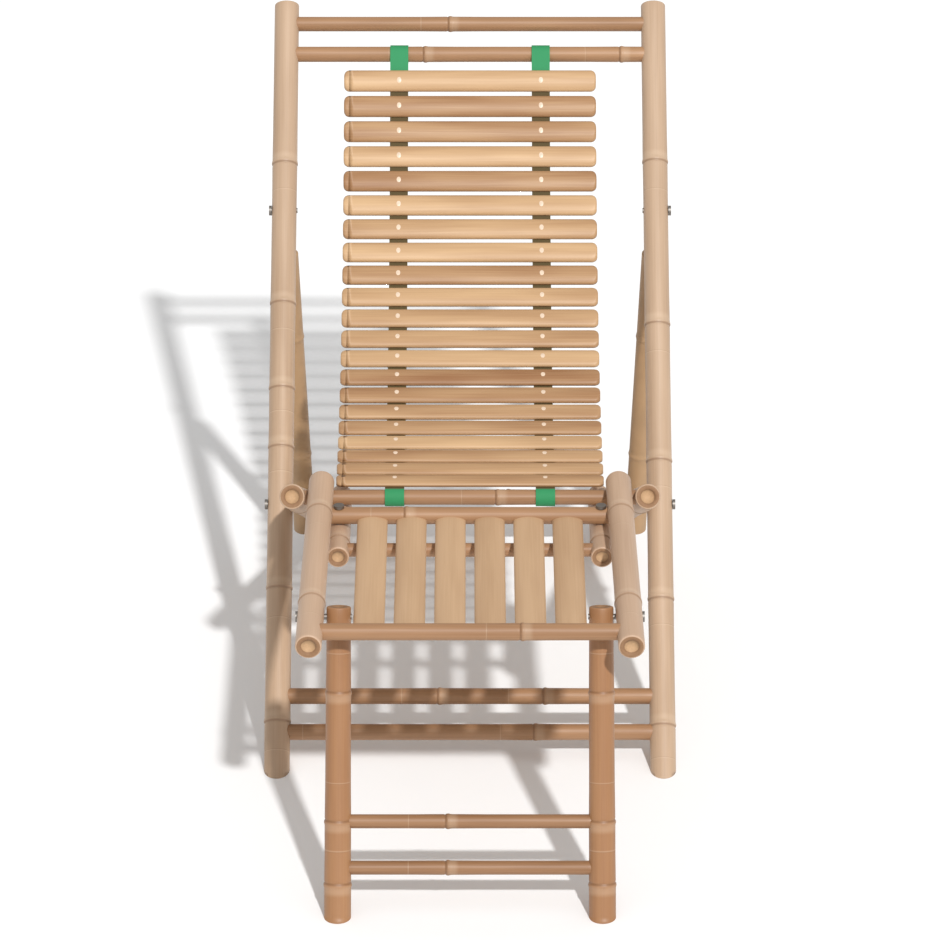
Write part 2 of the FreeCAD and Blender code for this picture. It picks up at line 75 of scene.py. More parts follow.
# Each pole: start and end of its centre line, diameters there, and where its nodes lie along it, in metres
POLES = {
    "back_pole_left": ((-0.281, -0.24703, -0.02663), (-0.281, 0.65595, 0.86072), 0.038, 0.038,
                       (0.112, 0.318, 0.54, 0.634, 0.771, 1.0)),
    "back_pole_right": ((0.281, -0.24703, -0.02663), (0.281, 0.65595, 0.86072), 0.038, 0.038,
                        (0.106, 0.301, 0.518, 0.737, 1.003)),
    "footrest_front_bar": ((-0.2092, -0.57192, 0.40248), (0.2092, -0.57192, 0.40248), 0.024, 0.024,
                           (0.2812,)),
    "footrest_rail_left": ((-0.2193, -0.61292, 0.4), (-0.2125, -0.14511, 0.42826), 0.037, 0.037,
                           (0.118, 0.372)),
    "footrest_rail_right": ((0.2193, -0.61292, 0.4), (0.2125, -0.14511, 0.42826), 0.037, 0.037,
                            (0.118, 0.372)),
    "footrest_rear_bar": ((-0.20416, -0.22492, 0.41244), (0.20416, -0.22492, 0.41244), 0.025, 0.025,
                          (0.1142,)),
    "footrest_tongue_left": ((-0.186, -0.30792, 0.38664), (-0.186, -0.08492, 0.37939), 0.032, 0.032,
                             (0.045,)),
    "footrest_tongue_right": ((0.186, -0.30792, 0.38664), (0.186, -0.08492, 0.37939), 0.032, 0.032, (0.045,)),
    "head_rung": ((-0.271, 0.63312, 0.83829), (0.271, 0.63312, 0.83829), 0.023, 0.023, (0.241,)),
    "leg_left": ((-0.1799, -0.51565, 0.41295), (-0.18314, -0.65372, -0.01809), 0.034, 0.038,
                 (0.12, 0.3, 0.388)),
    "leg_right": ((0.1799, -0.51565, 0.41295), (0.18314, -0.65372, -0.01809), 0.034, 0.038,
                  (0.12, 0.3, 0.388)),
    "leg_rung_lower": ((-0.1725, -0.6268, 0.06594), (0.1725, -0.6268, 0.06594), 0.02, 0.02, (0.1425,)),
    "leg_rung_upper": ((-0.17204, -0.60696, 0.12788), (0.17204, -0.60696, 0.12788), 0.02, 0.02, (0.142,)),
    "prop_bar": ((-0.25397, 0.48608, 0.10674), (0.25397, 0.48608, 0.10674), 0.022, 0.022, (0.314,)),
    "seat_front_bar": ((-0.2434, -0.15711, 0.40904), (0.2434, -0.15711, 0.40904), 0.022, 0.022, (0.2834,)),
    "seat_rail_left": ((-0.254, -0.18192, 0.422), (-0.21683, 0.65887, -0.01713), 0.037, 0.037,
                       (0.15, 0.42, 0.64, 0.8)),
    "seat_rail_right": ((0.254, -0.18192, 0.422), (0.21683, 0.65887, -0.01713), 0.037, 0.037,
                        (0.15, 0.42, 0.64, 0.8)),
    "seat_rear_bar": ((-0.21346, 0.52008, 0.05536), (0.21346, 0.52008, 0.05536), 0.022, 0.022, (0.1585,)),
    "sling_rung": ((-0.271, 0.59675, 0.80254), (0.271, 0.59675, 0.80254), 0.024, 0.024, (0.203, 0.503)),
    "stretcher_lower": ((-0.271, -0.17856, 0.04065), (0.271, -0.17856, 0.04065), 0.024, 0.024,
                        (0.081, 0.367)),
    "stretcher_upper": ((-0.271, -0.13933, 0.0792), (0.271, -0.13933, 0.0792), 0.024, 0.024, (0.227, 0.381)),
    "tongue_bar": ((-0.179, -0.28192, 0.38579), (0.179, -0.28192, 0.38579), 0.02, 0.02, (0.199,)),
}
# A pole's finish and middle tone, by the start of its name; any other pole has the plain finish
FINISHES = (("back_pole", "pole", 0.22), ("seat_rail", "pole", 0.22), ("footrest_rail", "foot", 0.25),
            ("footrest_tongue", "foot", 0.25), ("leg_left", "leg", 0.4), ("leg_right", "leg", 0.4),
            ("leg_rung", "rung", 0.8))
PLAIN_FINISH = ("rung", 0.45)
POLE_TONE_SPREAD = 0.10
SLING_TONE, SLING_TONE_SPREAD = 0.42, 0.36
FOOT_TONE, FOOT_TONE_SPREAD = 0.22, 0.12

# Bamboo skin: where a node's dark line and pale band lie from it, how they fade, and their colours
LINE_AT, LINE_FADE, LINE_SHARE = 0.0028, (0.0024, 0.0006), 0.5
BAND_AT, BAND_FADE, BAND_SHARE = 0.006, (0.009, 0.003), 0.16
LINE_COLOUR, BAND_COLOUR = (0.16, 0.075, 0.03, 1), (0.72, 0.56, 0.40, 1)
STREAK_SHARE, STAIN_SHARE = 0.55, 1.1
BUMP_STRENGTH, BUMP_DISTANCE = 0.25, 0.0004

# Poles
POLE_ROUND = 40              # points round a pole
END_RINGS = (0.0, 0.0005, 0.0012, 0.002)
FIRST_RING, RING_STEP = 0.01, 0.012
NODE_REACH, NODE_RINGS = 0.008, 17      # closer rings at each node
RIDGE_WIDTH = 0.0028
SCAR_BACK, SCAR_WIDTH = 0.0042, 0.0011  # the groove lies this far before its node
WAIST = 0.0003               # how much a pole's radius shrinks away from its nodes
FAR_FROM_NODE = 0.05
END_ROUND = 0.002
HOLLOW_SHARE, HOLLOW_DEEP = 0.62, 0.003
UV_SHIFT = 9                 # each piece's pattern starts somewhere in this many metres

# The slot in the back pole for the prop's tongue, and the footrest rail's notch for the seat's front bar
PROP_PIVOT = (0.411303, 0.620305)
BACK_LEAN = 44.5
SLOT_WIDE, SLOT_ABOVE, SLOT_BELOW, SLOT_DEEP = 0.0132, 0.0135, 0.080, 0.065
SLOT_DROP = -0.0195          # the cutter's middle, from the pole's middle line
NOTCH_RADIUS = 0.0113
ROD_ROUND, ROD_REACH = 48, 0.4

# Slats
SLING_CORNER, FOOT_CORNER = 0.0085, 0.002
SLAT_ROWS, SLAT_COLUMNS, CORNER_ROWS = 60, 15, 8
SLAT_EDGE, SLAT_RISE_FROM = 0.0045, 0.0048      # height at the long edges; thickness the crown rises from
END_DROP, END_DROP_REACH, EDGE_DROP = 0.0016, 0.003, 0.0012

# Sling
STRAP_X = 0.108
SAG = ((-0.157105, 0.420838), (0.304076, 0.399))   # the sling's curve starts at the seat bar, pulled here
SAG_LIFT = 0.00025
SLING_RUNG = (0.596748, 0.802541)
SEAT_BAR = (-0.157105, 0.409038)
TOP_ANGLE, TOP_WRAP = 55, 0.01305
STRAP_ROWS, STRAP_GREEN_FROM = 120, 115      # the strap is green; the stretch under the slats is drawn dark olive, painted shade from the slats, and the last stretch above them is left green
STRAP_HALF, STRAP_HALF_THICK = 0.0138, 0.0007
LOOPS = (("lower", SEAT_BAR, 0.01135, "seat_frame"), ("upper", SLING_RUNG, 0.01235, "back_frame"))
LOOP_ROUND, LOOP_THICK = 48, 0.0015
BENDING = ("sling_slat_09", "sling_slat_10")     # the slats that lie where the sling bends at the fold
NAIL_ROUND, NAIL_RINGS = 16, (1.0, 0.85, 0.5)
NAIL_SINK, NAIL_RISE, NAIL_TOP = 0.0006, 0.0007, 0.0001

# Stage
CAMERA_AT = (0.0, -7.0077, 3.6467)
CAMERA_PITCH = 65.0
CAMERA_LENS = 202.56
LIGHT_WAY = (-0.271, 0.897, -0.861)   # from the front right, about 43 degrees above the floor
LIGHT_STRENGTH, LIGHT_ANGLE, SKY_STRENGTH = 2.8, 2.2, 0.60
FLOOR_HALF = 9
FLOOR_TONES = ((0.90, 0.90, 0.90, 1), (0.91, 0.91, 0.91, 1))
FRAME = {}


class ReclinerSettings(bpy.types.PropertyGroup):
    """Sizes of the surface detail, in metres, and the colour spread."""
    swell: bpy.props.FloatProperty(name="Node swell", description="How far a node stands out", default=0.0009,
                                   min=0.0, max=0.0011, unit="LENGTH")
    groove: bpy.props.FloatProperty(name="Node groove", description="Depth of the scar beside a node",
                                    default=0.0007, min=0.0, unit="LENGTH")
    spread: bpy.props.FloatProperty(name="Tone spread", description="How much pieces differ in colour",
                                    default=1.0, min=0.0, max=2.0, subtype="FACTOR")
    nail: bpy.props.FloatProperty(name="Nail head", description="Radius of the heads that hold the slats",
                                  default=0.0045, min=0.001, unit="LENGTH")


def add_node(tree, kind, **values):
    """Adds a shader node, with its properties given by name."""
    node = tree.nodes.new(kind)
    for key, value in values.items():
        setattr(node, key, value)
    return node


def add_noise(tree, vector, scale, detail):
    """Adds a noise on a vector that is stretched by scale."""
    stretch = add_node(tree, "ShaderNodeMapping")
    stretch.inputs["Scale"].default_value = scale
    tree.links.new(vector, stretch.inputs["Vector"])
    noise = add_node(tree, "ShaderNodeTexNoise")
    noise.inputs["Scale"].default_value = 1.0
    noise.inputs["Detail"].default_value = detail
    tree.links.new(stretch.outputs["Vector"], noise.inputs["Vector"])
    return noise


def bamboo_group():
    """Node group: from the pole's own UV in metres, its distance to a node and its tone, gives colour
    streaks, a dark scar line, a pale band and a height for the bump."""
    tree = bpy.data.node_groups.new("Bamboo skin", "ShaderNodeTree")
    for name, kind in (("Light", "NodeSocketColor"), ("Dark", "NodeSocketColor")):
        tree.interface.new_socket(name, in_out="INPUT", socket_type=kind)
    for name, kind in (("Colour", "NodeSocketColor"), ("Gloss", "NodeSocketFloat"),
                       ("Height", "NodeSocketFloat")):
        tree.interface.new_socket(name, in_out="OUTPUT", socket_type=kind)
    link = tree.links.new
    enter, leave = add_node(tree, "NodeGroupInput"), add_node(tree, "NodeGroupOutput")
    uv = add_node(tree, "ShaderNodeUVMap")
    uv.uv_map = "UVMap"
    fibre = add_noise(tree, uv.outputs["UV"], (420.0, 7.0, 1.0), 4.0)
    stain = add_noise(tree, uv.outputs["UV"], (38.0, 4.0, 1.0), 2.0)
    tone, knot = add_node(tree, "ShaderNodeAttribute"), add_node(tree, "ShaderNodeAttribute")
    tone.attribute_name, knot.attribute_name = "tone", "knot"

    def maths(kind, a, b):
        node = add_node(tree, "ShaderNodeMath", operation=kind)
        for i, value in enumerate((a, b)):
            if isinstance(value, (int, float)):
                node.inputs[i].default_value = value
            elif value is not None:
                link(value, node.inputs[i])
        return node.outputs[0]

    streaks = maths("MULTIPLY", maths("SUBTRACT", fibre.outputs["Fac"], 0.5), STREAK_SHARE)
    stains = maths("MULTIPLY", maths("SUBTRACT", stain.outputs["Fac"], 0.5), STAIN_SHARE)
    share = add_node(tree, "ShaderNodeClamp")
    link(maths("ADD", maths("ADD", streaks, stains), tone.outputs["Fac"]), share.inputs["Value"])
    blend = add_node(tree, "ShaderNodeMix", data_type="RGBA")
    link(share.outputs[0], blend.inputs["Factor"])
    link(enter.outputs["Light"], blend.inputs["A"])
    link(enter.outputs["Dark"], blend.inputs["B"])
    scar = add_node(tree, "ShaderNodeMapRange")
    scar.inputs["From Min"].default_value, scar.inputs["From Max"].default_value = LINE_FADE
    link(maths("ABSOLUTE", maths("ADD", knot.outputs["Fac"], LINE_AT), None), scar.inputs["Value"])
    line = add_node(tree, "ShaderNodeMix", data_type="RGBA")
    line.inputs["B"].default_value = LINE_COLOUR
    link(maths("MULTIPLY", scar.outputs[0], LINE_SHARE), line.inputs["Factor"])
    link(blend.outputs["Result"], line.inputs["A"])
    pale = add_node(tree, "ShaderNodeMapRange")
    pale.inputs["From Min"].default_value, pale.inputs["From Max"].default_value = BAND_FADE
    link(maths("ABSOLUTE", maths("SUBTRACT", knot.outputs["Fac"], BAND_AT), None), pale.inputs["Value"])
    wax = add_node(tree, "ShaderNodeMix", data_type="RGBA")
    wax.inputs["B"].default_value = BAND_COLOUR
    link(maths("MULTIPLY", pale.outputs[0], BAND_SHARE), wax.inputs["Factor"])
    link(line.outputs["Result"], wax.inputs["A"])
    link(wax.outputs["Result"], leave.inputs["Colour"])
    link(maths("ADD", maths("MULTIPLY", fibre.outputs["Fac"], 0.2), 0.38), leave.inputs["Gloss"])
    link(fibre.outputs["Fac"], leave.inputs["Height"])
    return tree


def bamboo_material(name, light, dark, group):
    """A bamboo finish between two colours."""
    mat = bpy.data.materials.new(name)
    mat.use_nodes = True
    tree = mat.node_tree
    skin = tree.nodes["Principled BSDF"]
    inner = add_node(tree, "ShaderNodeGroup")
    inner.node_tree = group
    inner.inputs["Light"].default_value = (*light, 1)
    inner.inputs["Dark"].default_value = (*dark, 1)
    tree.links.new(inner.outputs["Colour"], skin.inputs["Base Color"])
    tree.links.new(inner.outputs["Gloss"], skin.inputs["Roughness"])
    bump = add_node(tree, "ShaderNodeBump")
    bump.inputs["Strength"].default_value = BUMP_STRENGTH
    bump.inputs["Distance"].default_value = BUMP_DISTANCE
    tree.links.new(inner.outputs["Height"], bump.inputs["Height"])
    tree.links.new(bump.outputs["Normal"], skin.inputs["Normal"])
    return mat


def plain_material(name, colour, roughness, metallic=0.0, weave=0.0, grain=40.0):
    """A finish whose colour varies a little over Object coordinates, in fine bands for a weave."""
    mat = bpy.data.materials.new(name)
    mat.use_nodes = True
    tree = mat.node_tree
    skin = tree.nodes["Principled BSDF"]
    skin.inputs["Roughness"].default_value = roughness
    skin.inputs["Metallic"].default_value = metallic
    where = add_node(tree, "ShaderNodeTexCoord")
    pattern = add_node(tree, "ShaderNodeTexWave" if weave else "ShaderNodeTexNoise")
    pattern.inputs["Scale"].default_value = weave or grain
    tree.links.new(where.outputs["Object"], pattern.inputs["Vector"])
    mix = add_node(tree, "ShaderNodeMix", data_type="RGBA")
    mix.inputs["A"].default_value = (*[c * 0.8 for c in colour], 1)
    mix.inputs["B"].default_value = (*[min(1, c * 1.15) for c in colour], 1)
    tree.links.new(pattern.outputs["Fac"], mix.inputs["Factor"])
    tree.links.new(mix.outputs["Result"], skin.inputs["Base Color"])
    return mat


def materials():
    """All finishes by name, made once."""
    if "finish" not in FRAME:
        group = bamboo_group()
        FRAME["finish"] = {
            "pole": bamboo_material("Pole bamboo", (0.50, 0.35, 0.235), (0.31, 0.195, 0.115), group),
            "rung": bamboo_material("Rung bamboo", (0.42, 0.235, 0.12), (0.235, 0.115, 0.05), group),
            "foot": bamboo_material("Footrest bamboo", (0.52, 0.355, 0.24), (0.37, 0.235, 0.15), group),
            "leg": bamboo_material("Leg bamboo", (0.37, 0.19, 0.085), (0.25, 0.11, 0.045), group),
            "slat": bamboo_material("Sling slat", (0.56, 0.36, 0.19), (0.27, 0.125, 0.05), group),
            "foot_slat": bamboo_material("Footrest slat", (0.52, 0.335, 0.19), (0.37, 0.215, 0.11), group),
            "cut": plain_material("Sawn end", (0.50, 0.31, 0.165), 0.7, grain=300.0),
            "rim": plain_material("Sawn rim", (0.27, 0.145, 0.07), 0.7, grain=300.0),
            "green": plain_material("Green strap", (0.022, 0.25, 0.09), 0.75, weave=420.0),
            # dark olive for the green strap where it lies under the slats: painted shade from the slats
            "strap": plain_material("Strap in painted shade", (0.095, 0.065, 0.022), 0.85, weave=420.0),
            "nail": plain_material("Nail head", (0.72, 0.56, 0.42), 0.4, grain=200.0),
            "steel": plain_material("Zinc", (0.26, 0.24, 0.22), 0.5, metallic=1.0, grain=90.0),
            "peg": plain_material("Peg", (0.45, 0.27, 0.13), 0.6),
            "strut": plain_material("Strut bamboo", (0.40, 0.25, 0.13), 0.5, grain=25.0),
        }
    return FRAME["finish"]


def new_object(name, points, faces, mats, face_mats, uv=None, floats=None, smooth=True):
    """A mesh object in the row frame from whole arrays; uv is per vertex, floats are vertex attributes."""
    mesh = bpy.data.meshes.new(name)
    mesh.from_pydata(np.asarray(points, float).tolist(), [], faces)
    for mat in mats:
        mesh.materials.append(mat)
    mesh.polygons.foreach_set("material_index", np.asarray(face_mats, np.int32))
    mesh.polygons.foreach_set("use_smooth", np.full(len(faces), smooth))
    if uv is not None:
        layer = mesh.uv_layers.new(name="UVMap")
        loops = np.zeros(len(mesh.loops), np.int32)
        mesh.loops.foreach_get("vertex_index", loops)
        layer.data.foreach_set("uv", np.asarray(uv, np.float32)[loops].ravel())
    for key, values in (floats or {}).items():
        attribute = mesh.attributes.new(key, "FLOAT", "POINT")
        attribute.data.foreach_set("value", np.asarray(values, np.float32))
    mesh.update()
    obj = bpy.data.objects.new(name, mesh)
    bpy.context.scene.collection.objects.link(obj)
    return obj


def grid_faces(rows, cols):
    """Quads of a grid of rows by cols points, whose last column joins the first."""
    i, j = np.meshgrid(np.arange(rows - 1), np.arange(cols), indexing="ij")
    k = (j + 1) % cols
    quads = np.stack([i * cols + j, i * cols + k, (i + 1) * cols + k, (i + 1) * cols + j], -1)
    return quads.reshape(-1, 4).tolist()


def uv_of(girth, along, rng):
    """UVs in metres: round the piece, then along it, each shifted by its own random length."""
    around = np.tile(girth, len(along)) + rng.uniform(0, UV_SHIFT)
    return np.stack([around, np.repeat(along + rng.uniform(0, UV_SHIFT), len(girth))], 1)


def pole_object(name, finish, tone, settings, seed):
    """A bamboo pole on its centre line. Each ring's radius is the straight taper, less a slight waist
    between nodes, plus a rounded ridge at each node and less a narrow groove beside it. Both ends are
    rounded over and dished, and a foot is cut off level with the floor by sliding its points along the
    pole."""
    start, end, d0, d1, nodes = POLES[name]
    start, end = np.array(start), np.array(end)
    length = np.linalg.norm(end - start)
    way = (end - start) / length
    side = np.cross(way, (0, 0, 1) if abs(way[2]) < 0.9 else (1, 0, 0))
    side /= np.linalg.norm(side)
    up = np.cross(side, way)
    rng = np.random.default_rng(seed)
    along = list(END_RINGS) + [length - r for r in END_RINGS]
    along += list(np.arange(FIRST_RING, length - FIRST_RING, RING_STEP))
    for n in nodes:
        along += list(n + np.linspace(-NODE_REACH, NODE_REACH, NODE_RINGS))
    along = np.unique(np.round(np.clip(along, 0, length), 5))
    radius = (d0 + (d1 - d0) * along / length) / 2
    knot = np.full(len(along), FAR_FROM_NODE)
    for n in nodes:
        gap = along - n
        near = np.abs(gap) < np.abs(knot)
        knot[near] = gap[near]
        radius += settings.swell * np.exp(-(gap / RIDGE_WIDTH) ** 2)
        radius -= settings.groove * np.exp(-((gap + SCAR_BACK) / SCAR_WIDTH) ** 2)
    radius -= WAIST * np.clip(np.abs(knot) / FAR_FROM_NODE, 0, 1)
    from_end = np.clip(np.minimum(along, length - along) / END_ROUND, 0, 1)
    radius -= END_ROUND * (1 - np.sqrt(np.clip(1 - (1 - from_end) ** 2, 0, 1)))
    angle = np.linspace(0, 2 * math.pi, POLE_ROUND, endpoint=False)
    turn = np.cos(angle)[:, None] * side + np.sin(angle)[:, None] * up
    points = start + along[:, None, None] * way + radius[:, None, None] * turn[None]
    below = points[..., 2] < 0
    if way[2]:
        points = np.where(below[..., None], points - way * (points[..., 2:] / way[2]), points)
    rows, cols = len(along), POLE_ROUND
    flat = points.reshape(-1, 3)
    faces = grid_faces(rows, cols)
    kinds = [0] * len(faces)
    uv = uv_of(angle * d0 / 2, along, rng)
    knots = np.repeat(knot, cols)
    extra_faces, extra_kinds = [], []
    for row, sign in ((0, 1), (rows - 1, -1)):
        ring = points[row]
        middle = ring.mean(0)
        on_floor = abs(ring[:, 2]).max() < 1e-6
        inner = middle + (ring - middle) * HOLLOW_SHARE
        deep = inner + (0 if on_floor else 1) * way * HOLLOW_DEEP * sign
        base = len(flat)
        flat = np.vstack([flat, inner, deep, (deep.mean(0))[None]])
        k = np.arange(cols)
        nxt = (k + 1) % cols
        outer = row * cols
        for a, b in ((outer, base), (base, base + cols)):
            quads = np.stack([a + k, b + k, b + nxt, a + nxt], -1)
            extra_faces += (quads if sign == 1 else quads[:, ::-1]).tolist()
            extra_kinds += [1] * cols
        tris = np.stack([base + cols + k, np.full(cols, base + 2 * cols), base + cols + nxt], -1)
        extra_faces += (tris if sign == 1 else tris[:, ::-1]).tolist()
        extra_kinds += [2] * cols
        uv = np.vstack([uv, np.zeros((2 * cols + 1, 2))])
        knots = np.concatenate([knots, np.full(2 * cols + 1, FAR_FROM_NODE)])
    mats = [materials()[finish], materials()["rim"], materials()["cut"]]
    kinds += extra_kinds
    tones = np.full(len(flat), tone)
    return new_object(name + "_bamboo", flat, faces + extra_faces, mats, kinds, uv,
                      {"tone": tones, "knot": knots})


def cutter_box(centre, size, degrees):
    """A box turned about X, as an object to cut with."""
    ends = (-0.5, 0.5)
    corners = np.array([(x, y, z) for x in ends for y in ends for z in ends]) * size
    a = math.radians(degrees)
    y = corners[:, 1] * math.cos(a) - corners[:, 2] * math.sin(a)
    z = corners[:, 1] * math.sin(a) + corners[:, 2] * math.cos(a)
    points = np.stack([corners[:, 0], y, z], 1) + centre
    faces = [(0, 1, 3, 2), (4, 6, 7, 5), (0, 4, 5, 1), (2, 3, 7, 6), (0, 2, 6, 4), (1, 5, 7, 3)]
    return new_object("cutter", points, faces, [materials()["cut"]], [0] * 6, smooth=False)


def cutter_rod(y, z, radius):
    """A long rod along X, as an object to cut with."""
    n = ROD_ROUND
    angle = np.linspace(0, 2 * math.pi, n, endpoint=False)
    ring = np.stack([np.zeros(n), y + radius * np.cos(angle), z + radius * np.sin(angle)], 1)
    points = np.vstack([ring + (-ROD_REACH, 0, 0), ring + (ROD_REACH, 0, 0)])
    faces = grid_faces(2, n) + [list(range(n - 1, -1, -1)), list(range(n, 2 * n))]
    return new_object("cutter", points, faces, [materials()["cut"]], [0] * len(faces))


def carve(obj, cutter):
    """Cuts the cutter out of obj and removes it."""
    cut = obj.modifiers.new("cut", "BOOLEAN")
    cut.operation, cut.object, cut.solver = "DIFFERENCE", cutter, "EXACT"
    bpy.context.view_layer.update()
    graph = bpy.context.evaluated_depsgraph_get()
    made = bpy.data.meshes.new_from_object(obj.evaluated_get(graph))
    obj.modifiers.clear()
    obj.data = made
    bpy.data.objects.remove(cutter)


def node_points(node):
    """The points of a CAD node's mesh, in the row frame."""
    obj = FRAME["nodes"][node]
    co = np.zeros(len(obj.data.vertices) * 3, np.float32)
    obj.data.vertices.foreach_get("co", co)
    return co.reshape(-1, 3).astype(float)


def slat_object(node, sling, finish, tone, seed):
    """A split-bamboo slat: a crowned strip with rounded corners, along X in the sling and along the
    footrest otherwise. Its tilt is the main direction of the node's points seen from the side, and the
    crown's height falls off with the square of the distance from the middle line."""
    co = node_points(node)
    rng = np.random.default_rng(seed)
    flat = co[:, [1, 2]]
    _, _, axes = np.linalg.svd(flat - flat.mean(0), full_matrices=False)
    run = axes[0] * np.sign(axes[0][0])
    normal = np.array([-run[1], run[0]])
    s, n = flat @ run, flat @ normal
    centre = np.array([(co[:, 0].min() + co[:, 0].max()) / 2,
                       *(run * (s.min() + s.max()) / 2 + normal * n.min())])
    thick, up = np.ptp(n), np.array([0, *normal])
    if sling:
        length, width, corner = np.ptp(co[:, 0]), np.ptp(s), SLING_CORNER
        way, across_ = np.array([1.0, 0, 0]), np.array([0, *run])
    else:
        length, width, corner = np.ptp(s), np.ptp(co[:, 0]), FOOT_CORNER
        way, across_ = np.array([0, *run]), np.array([-1.0, 0, 0])
    edge = np.concatenate([[0], corner * (1 - np.cos(np.linspace(0.2, math.pi / 2, CORNER_ROWS)))])
    middle = np.linspace(corner, length - corner, SLAT_ROWS)
    along = np.unique(np.concatenate([edge, middle, length - edge])) - length / 2
    v = np.linspace(-1, 1, SLAT_COLUMNS)
    from_end = np.clip(length / 2 - np.abs(along), 0, corner)
    pull = corner - np.sqrt(np.clip(corner ** 2 - (corner - from_end) ** 2, 0, None))
    half = width / 2 - pull
    crown = (SLAT_EDGE + (thick - SLAT_RISE_FROM) * (1 - v ** 2))[None] * np.ones((len(along), 1))
    crown -= END_DROP * (np.clip(1 - from_end / END_DROP_REACH, 0, 1) ** 2)[:, None]
    crown -= EDGE_DROP * (np.abs(v) ** 10)[None]
    low = centre + along[:, None, None] * way + (half[:, None] * v[None])[..., None] * across_
    top = low + crown[..., None] * up
    ring = np.concatenate([top, low[:, ::-1]], 1)
    rows, cols = ring.shape[:2]
    total = rows * cols
    faces = grid_faces(rows, cols) + [list(range(total + cols - 1, total - 1, -1)),
                                      list(range(total + cols, total + 2 * cols))]
    girth = np.concatenate([v, v[::-1] + 3]) * width / 2
    uv = uv_of(girth, along, rng)
    points = np.concatenate([ring.reshape(-1, 3), ring[0], ring[-1]])
    uv = np.concatenate([uv, uv[:cols], uv[-cols:]])
    knots = np.full(len(points), FAR_FROM_NODE)
    obj = new_object(node + "_bamboo", points, faces, [materials()[finish]], [0] * len(faces),
                     uv, {"tone": np.full(len(points), tone), "knot": knots})
    FRAME.setdefault("slats", {})[node] = (centre, way, across_, up, thick)
    return obj


def body_of_node(node):
    """The CAD body that a node belongs to."""
    return next(b for b, members in FRAME["record"]["behaviour"]["bodies"].items() if node in members)


def carry(obj, node):
    """Leaves a piece that lies where the sling bends at the fold on no body, with its transform baked, or
    else lets it ride on its node's body.
    """
    if node in BENDING:
        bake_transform(obj)
    else:
        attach(obj, body_of_node(node))


class RECLINER_OT_poles(bpy.types.Operator):
    """Builds the bamboo poles, rungs and bars in place of the plain ones"""
    bl_idname = "recliner.poles"
    bl_label = "Build poles"

    def execute(self, context):
        settings = context.scene.recliner
        rng = np.random.default_rng(4)
        for i, name in enumerate(sorted(POLES)):
            finish, tone = next((f[1:] for f in FINISHES if name.startswith(f[0])), PLAIN_FINISH)
            tone += settings.spread * rng.uniform(-POLE_TONE_SPREAD, POLE_TONE_SPREAD)
            obj = pole_object(name, finish, tone, settings, 20 + i)
            if name.startswith("back_pole"):
                a, mid = math.radians(BACK_LEAN), (SLOT_ABOVE - SLOT_BELOW) / 2
                centre = (POLES[name][0][0], PROP_PIVOT[0] + mid * math.cos(a) - SLOT_DROP * math.sin(a),
                          PROP_PIVOT[1] + mid * math.sin(a) + SLOT_DROP * math.cos(a))
                size = np.array((SLOT_WIDE, SLOT_ABOVE + SLOT_BELOW, SLOT_DEEP))
                carve(obj, cutter_box(np.array(centre), size, BACK_LEAN))
            if name.startswith("footrest_rail"):
                carve(obj, cutter_rod(*SEAT_BAR, NOTCH_RADIUS))
            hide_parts(name)
            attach(obj, body_of_node(name))
        return {"FINISHED"}


class RECLINER_OT_slats(bpy.types.Operator):
    """Builds the split slats of the sling and the footrest, each in its own tone"""
    bl_idname = "recliner.slats"
    bl_label = "Build slats"

    def execute(self, context):
        rng = np.random.default_rng(11)
        spread = context.scene.recliner.spread
        for node in sorted(FRAME["nodes"]):
            sling = node.startswith("sling_slat")
            if not sling and not node.startswith("footrest_slat"):
                continue
            middle, reach = (SLING_TONE, SLING_TONE_SPREAD) if sling else (FOOT_TONE, FOOT_TONE_SPREAD)
            tone = middle + spread * rng.uniform(-reach, reach)
            obj = slat_object(node, sling, "slat" if sling else "foot_slat", tone,
                              int(rng.integers(1, 9999)))
            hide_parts(node)
            carry(obj, node)
        return {"FINISHED"}


